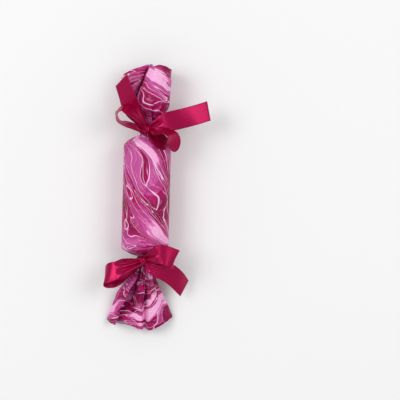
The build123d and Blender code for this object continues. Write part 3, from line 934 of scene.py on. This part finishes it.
upper_left_tail = limb(
    rows=48,
    stations=(
        (-2, 2, 32.5, 212, 0, 0.35),
        (-8.5, 10, 34, 212, -8, 0.62),
        (-15.2, 19.5, 36, 211, -20, 0.95),
        (-20.5, 31.5, 38, 208, -34, 1),
        (-26.4, 46.8, 37, 205, -40, 1),
    ),
    slant=-17,
)
upper_left_loop = limb(
    rows=88,
    stations=(
        (-2, 1.5, 35, 250, 20, 0.38),
        (-8, 9.5, 41.5, 255, 42, 0.66),
        (-15.5, 16, 45.5, 260, 53, 0.95),
        (-23.5, 19.3, 46, 265, 66, 1),
        (-29.3, 14.8, 45.5, 350, 80, 1),
        (-27.5, 8.2, 43.5, 70, 82, 1),
        (-19.5, 4.5, 40, 80, 72, 0.9),
        (-11, 1.8, 37, 80, 60, 0.6),
        (-2, -0.5, 33.5, 80, 20, 0.38),
    ),
)
upper_right_tail = limb(
    rows=48,
    stations=(
        (2, 1, 33, 100, 0, 0.38),
        (9, 3.7, 35.5, 100, 4, 0.72),
        (16.5, 6.6, 38.8, 100, 6, 0.98),
        (24, 8.8, 39.6, 102, 3, 1),
        (34, 11.4, 39, 104, 0, 1),
        (46, 15, 37, 107, -3, 1),
        (58.6, 19.5, 33, 108, -6, 1),
    ),
    slant=10,
)
upper_right_loop = limb(
    rows=88,
    stations=(
        (2, -0.5, 34.5, 270, 30, 0.36),
        (9, -2, 42, 270, 62, 0.7),
        (17, -2, 47, 265, 70, 1),
        (23.5, -5, 48, 205, 58, 1),
        (25, -11.5, 46, 168, 45, 1),
        (22, -17, 44, 163, 36, 1),
        (16.5, -14.5, 43, 190, 34, 1),
        (9.5, -8, 40.5, 222, 34, 0.88),
        (2, -1.5, 34.5, 235, 18, 0.44),
    ),
)
upper_bow, upper_bow_length = bow(
    "upper_bow",
    upper_neck,
    (
        neck_turns(),
        knot_turn(centre=(-0.5, 0.2, 33.8), turn=70),
        upper_left_tail,
        upper_left_loop,
        upper_right_tail,
        upper_right_loop,
    ),
)
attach(upper_bow, "bell_end")
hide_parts("upper_ribbon")

lower_left_loop = limb(
    rows=96,
    stations=(
        (-3, -1, 33.5, 285, 10, 0.3),
        (-12, -4.5, 37.5, 288, 12, 0.45),
        (-20, -7.2, 41, 284, 10, 0.7),
        (-27, -9.5, 41, 277, 8, 0.94),
        (-33.4, -12, 38.8, 271, 14, 1),
        (-37.2, -14.5, 35, 268, 28, 1),
        (-35.5, -17.8, 31.5, 268, 24, 1),
        (-28, -17, 29, 275, 18, 0.95),
        (-20, -11.5, 31, 285, 12, 0.8),
        (-11, -6, 31.5, 290, 5, 0.5),
        (-3, -1.5, 32, 290, 5, 0.35),
    ),
)
lower_right_loop = limb(
    rows=96,
    stations=(
        (1, 1.5, 34, 97, 5, 0.35),
        (6, 4, 40, 92, 10, 0.64),
        (12.5, 6.6, 45, 82, 9, 0.9),
        (18, 7, 46.4, 77, 4, 1),
        (23, 5.7, 45.8, 72, -2, 1),
        (27, 4.2, 44.3, 68, -4, 1),
        (29.8, 3, 42.4, 67, -2, 1),
        (28.6, 2.6, 40.2, 67, 0, 1),
        (24.5, 2.4, 39.2, 67, 0, 1),
        (19, 2, 39, 70, 10, 0.9),
        (10, 1.5, 37, 80, 8, 0.65),
        (2, 1, 33, 95, 5, 0.35),
    ),
)
lower_right_tail = limb(
    rows=48,
    stations=(
        (1, -1, 33, 75, 0, 0.4),
        (8, -3.5, 34.5, 68, 0, 0.9),
        (15.5, -7, 33, 62, 0, 1),
        (23, -10.5, 29.5, 57, -3, 1),
        (31.5, -17, 23, 50, -20, 1),
        (39.4, -26.2, 14, 45, -40, 1),
    ),
)
lower_left_tail = limb(
    rows=40,
    stations=(
        (-3, -1, 32, 290, 0, 0.35),
        (-11, -4, 28, 291, 0, 0.7),
        (-19, -7.5, 22, 294, 0, 1),
        (-26, -11, 15.5, 299, 0, 1),
        (-32, -15.5, 9, 304, 0, 1),
    ),
    slant=15,
)
lower_bow, lower_bow_length = bow(
    "lower_bow",
    lower_neck,
    (
        neck_turns(),
        knot_turn(centre=(-1, 0.4, 33.6), turn=115),
        lower_left_loop,
        lower_right_loop,
        lower_right_tail,
        lower_left_tail,
    ),
)
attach(lower_bow, "fan_end")
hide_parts("lower_ribbon")

# The tube that keeps the barrel round: plain grey-brown card, wound in a spiral from a long strip
# and cut to length, so that the edges of the winding show on its face. The wrapper is rolled on it.
card_strip_width = 62 * mm
card_seam_share = 0.012
card_seam_cover = 0.7
card_seam_brown = srgb(104, 80, 56)
fibre_gloss = 0.25


def dress(node, material):
    """Give a piece of the frame its material."""
    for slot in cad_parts[node].material_slots:
        slot.material = material


def fibrous(name, dark, pale, stretch, roughness):
    """Pulped or grown fibres, drawn out along the piece, as a material and its parts."""
    material, tree, surface = new_material(name)
    place = add_node(tree, "ShaderNodeTexCoord").outputs["Object"]
    stretched = vector_node(tree, "MULTIPLY", place, stretch)
    fibres = noise_field(tree, stretched, seed=0.0, scale=1.0, detail=5.0, roughness=0.65)[0]
    colours = noise_colours(tree, fibres, dark, pale)
    tree.links.new(colours, surface.inputs["Base Color"])
    raised = bump(tree, fibres, strength=0.2, distance=0.1 * mm)
    tree.links.new(raised, surface.inputs["Normal"])
    surface.inputs["Roughness"].default_value = roughness
    surface.inputs["Specular IOR Level"].default_value = fibre_gloss
    return material, tree, surface, place, colours


tube_card, card_tree, card_surface, card_place, card_colours = fibrous(
    "tube_card",
    dark=srgb(166, 138, 106),
    pale=srgb(204, 178, 144),
    stretch=(700.0, 700.0, 700.0),
    roughness=0.85,
)
card_axes = add_node(card_tree, "ShaderNodeSeparateXYZ", {0: card_place}).outputs
card_rise = math_node(card_tree, "SUBTRACT", card_axes["Z"], axis_height)
card_turn = math_node(card_tree, "ARCTAN2", card_rise, card_axes["X"])
card_winding = math_node(
    card_tree,
    "FRACT",
    math_node(
        card_tree,
        "ADD",
        math_node(card_tree, "DIVIDE", card_axes["Y"], card_strip_width),
        math_node(card_tree, "DIVIDE", card_turn, 2 * pi),
    ),
)
card_seam = ranged(card_tree, card_winding, 0.0, card_seam_share, card_seam_cover, 0.0)
card_wound = mixed(card_tree, card_seam, card_colours, card_seam_brown)
card_tree.links.new(card_wound, card_surface.inputs["Base Color"])
dress("centre_tube", tube_card)

# The snap: two strips of uncoated card that lap inside a paper band, with a rough patch on one and
# a dab of dark compound on the other, which crack as they are drawn past each other.
snap_card = fibrous(
    "snap_card",
    dark=srgb(206, 194, 170),
    pale=srgb(232, 222, 202),
    stretch=(500.0, 120.0, 500.0),
    roughness=0.8,
)[0]
snap_compound = fibrous(
    "snap_compound",
    dark=srgb(52, 48, 48),
    pale=srgb(104, 98, 96),
    stretch=(4000.0, 4000.0, 4000.0),
    roughness=0.95,
)[0]
for node in ("snap_upper_strip", "snap_lower_strip", "snap_sleeve"):
    dress(node, snap_card)
for node in ("snap_friction_patch", "snap_charge"):
    dress(node, snap_compound)

# The crown and the motto: a hat of thin pink tissue and a slip of plain white paper, each rolled up
# and laid loose in the bottom of the tube. The hat's points are cut into one end of the roll.
tissue_thickness = 0.4 * mm
motto_thickness = 0.2 * mm
roll_crease_stretch = (38.0, 3.0, 1.0)
crown_tissue = fibrous(
    "crown_tissue",
    dark=srgb(214, 122, 164),
    pale=srgb(236, 164, 198),
    stretch=(900.0, 90.0, 900.0),
    roughness=0.8,
)[0]
motto_paper = fibrous(
    "motto_paper",
    dark=srgb(236, 232, 222),
    pale=srgb(250, 248, 242),
    stretch=(900.0, 900.0, 900.0),
    roughness=0.8,
)[0]


def rolled_sheet(name, material, sizes):
    """A tree that rolls a sheet into a spiral, with points cut into its far end."""
    tree, size = new_tree(name, sizes)
    grid = add_node(
        tree,
        "GeometryNodeMeshGrid",
        {"Size X": 1.0, "Size Y": 1.0, "Vertices X": size["Columns"], "Vertices Y": size["Rows"]},
    )
    flat = add_node(tree, "GeometryNodeInputPosition").outputs[0]
    flat_axes = add_node(tree, "ShaderNodeSeparateXYZ", {0: flat}).outputs
    from_edge = math_node(tree, "SUBTRACT", 0.5, flat_axes["X"])
    turns = math_node(tree, "MULTIPLY", from_edge, size["Turns"])
    angle = math_node(tree, "SUBTRACT", math_node(tree, "MULTIPLY", turns, -2 * pi), pi / 2)
    stretched = vector_node(tree, "MULTIPLY", flat, roll_crease_stretch)
    creases = noise_field(tree, stretched, seed=2.0, scale=1.0)[0]
    inward = math_node(
        tree,
        "ADD",
        math_node(tree, "MULTIPLY", turns, size["Pitch"]),
        math_node(tree, "MULTIPLY", creases, size["Crease"]),
    )
    radius = math_node(tree, "SUBTRACT", size["Outer Radius"], inward)
    notch = math_node(tree, "PINGPONG", math_node(tree, "MULTIPLY", turns, size["Points"]), 0.5)
    notch_share = math_node(tree, "MULTIPLY", notch, 2.0)
    missing = math_node(tree, "MULTIPLY", notch_share, size["Point Depth"])
    share = math_node(tree, "ADD", flat_axes["Y"], 0.5)
    run = math_node(tree, "MULTIPLY", share, math_node(tree, "SUBTRACT", size["Length"], missing))
    sideways = math_node(tree, "MULTIPLY", radius, math_node(tree, "COSINE", angle))
    upward = math_node(tree, "MULTIPLY", radius, math_node(tree, "SINE", angle))
    place = add_node(
        tree,
        "ShaderNodeCombineXYZ",
        {
            0: math_node(tree, "ADD", size["Middle X"], sideways),
            1: math_node(tree, "ADD", size["Start Y"], run),
            2: math_node(tree, "ADD", size["Middle Z"], upward),
        },
    ).outputs[0]
    rolled = add_node(
        tree, "GeometryNodeSetPosition", {"Geometry": grid.outputs[0], "Position": place}
    )
    end_tree(tree, rolled.outputs[0], material)
    return tree


def rolled_piece(name, node, body, material, thickness, sizes):
    """One rolled sheet in the place of a piece of the frame, and held inside that piece's box."""
    low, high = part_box(node)
    sizes = sizes | {
        "Outer Radius": (high.z - low.z) / 2 - thickness,
        "Length": high.y - low.y,
        "Middle X": (low.x + high.x) / 2,
        "Start Y": low.y,
        "Middle Z": (low.z + high.z) / 2,
    }
    piece = grown(name, rolled_sheet(name, material, sizes), sizes)
    smooth(piece.data)
    thicken(piece, thickness)
    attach(piece, body)
    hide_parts(node)


rolled_piece(
    "crown_roll",
    node="paper_crown",
    body="crown",
    material=crown_tissue,
    thickness=tissue_thickness,
    sizes={
        "Pitch": 1.3 * mm,
        "Turns": 3.9,
        "Points": 8.0,
        "Point Depth": 11 * mm,
        "Crease": 0.5 * mm,
        "Columns": 260,
        "Rows": 40,
    },
)
rolled_piece(
    "motto_roll",
    node="motto_slip",
    body="motto",
    material=motto_paper,
    thickness=motto_thickness,
    sizes={
        "Pitch": 0.8 * mm,
        "Turns": 2.9,
        "Points": 8.0,
        "Point Depth": 0.0,
        "Crease": 0.15 * mm,
        "Columns": 140,
        "Rows": 10,
    },
)

# The gift: a spinning top of two pieces of beech, a disc turned to a blunt point and a spindle
# glued into its bore. Both are sanded and left bare, with the grain along the spindle.
turned_wood = fibrous(
    "turned_wood",
    dark=srgb(176, 126, 80),
    pale=srgb(216, 174, 124),
    stretch=(900.0, 70.0, 900.0),
    roughness=0.55,
)[0]
for node in ("top_disc", "top_spindle"):
    dress(node, turned_wood)

# The table is a plain pale top, lit by two broad soft lamps from the sides and a soft room, and
# seen from straight above.
table_half = 3.0
table_white = srgb(245, 245, 245)
table_roughness = 0.9
table_gloss = 0.0
table_corners = ((-1, -1), (1, -1), (1, 1), (-1, 1))
table_mesh = bpy.data.meshes.new("table")
table_mesh.from_pydata(
    [(x * table_half, y * table_half, 0) for x, y in table_corners], [], [(0, 1, 2, 3)]
)
table = bpy.data.objects.new("table", table_mesh)
bpy.context.scene.collection.objects.link(table)
table_material, _, table_surface = new_material("table_top")
table_surface.inputs["Base Color"].default_value = table_white
table_surface.inputs["Roughness"].default_value = table_roughness
table_surface.inputs["Specular IOR Level"].default_value = table_gloss
table_mesh.materials.append(table_material)

lamp_size = 1.0
lamp_height = 1.6
lamp_reach = 1.1
lamp_forward = 0.35
lamp_power = 13.3
room_strength = 0.56
for name, side, share in (("left_lamp", -1, 1.0), ("right_lamp", 1, 0.8)):
    lamp = bpy.data.lights.new(name, "AREA")
    lamp.shape = "SQUARE"
    lamp.size = lamp_size
    lamp.energy = lamp_power * share
    holder = bpy.data.objects.new(name, lamp)
    holder.location = (side * lamp_reach, lamp_forward, lamp_height)
    holder.rotation_mode = "QUATERNION"
    holder.rotation_quaternion = (-holder.location).to_track_quat("-Z", "Y")
    bpy.context.scene.collection.objects.link(holder)
room = bpy.data.worlds.new("room")
room.use_nodes = True
room_light = room.node_tree.nodes["Background"].inputs
room_light["Color"].default_value = (1, 1, 1, 1)
room_light["Strength"].default_value = room_strength
bpy.context.scene.world = room
bpy.context.scene.view_settings.view_transform = "Standard"

view_width = 388 * mm
view_middle = (52.3 * mm, -1.6 * mm)
view_turn = radians(1.5)
view_distance = 1.7
eye = bpy.data.cameras.new("eye")
eye.angle = 2 * np.arctan(view_width / 2 / view_distance)
stand = bpy.data.objects.new("eye", eye)
stand.location = (*view_middle, view_distance + axis_height)
stand.rotation_euler = (0, 0, view_turn)
bpy.context.scene.collection.objects.link(stand)
bpy.context.scene.camera = stand
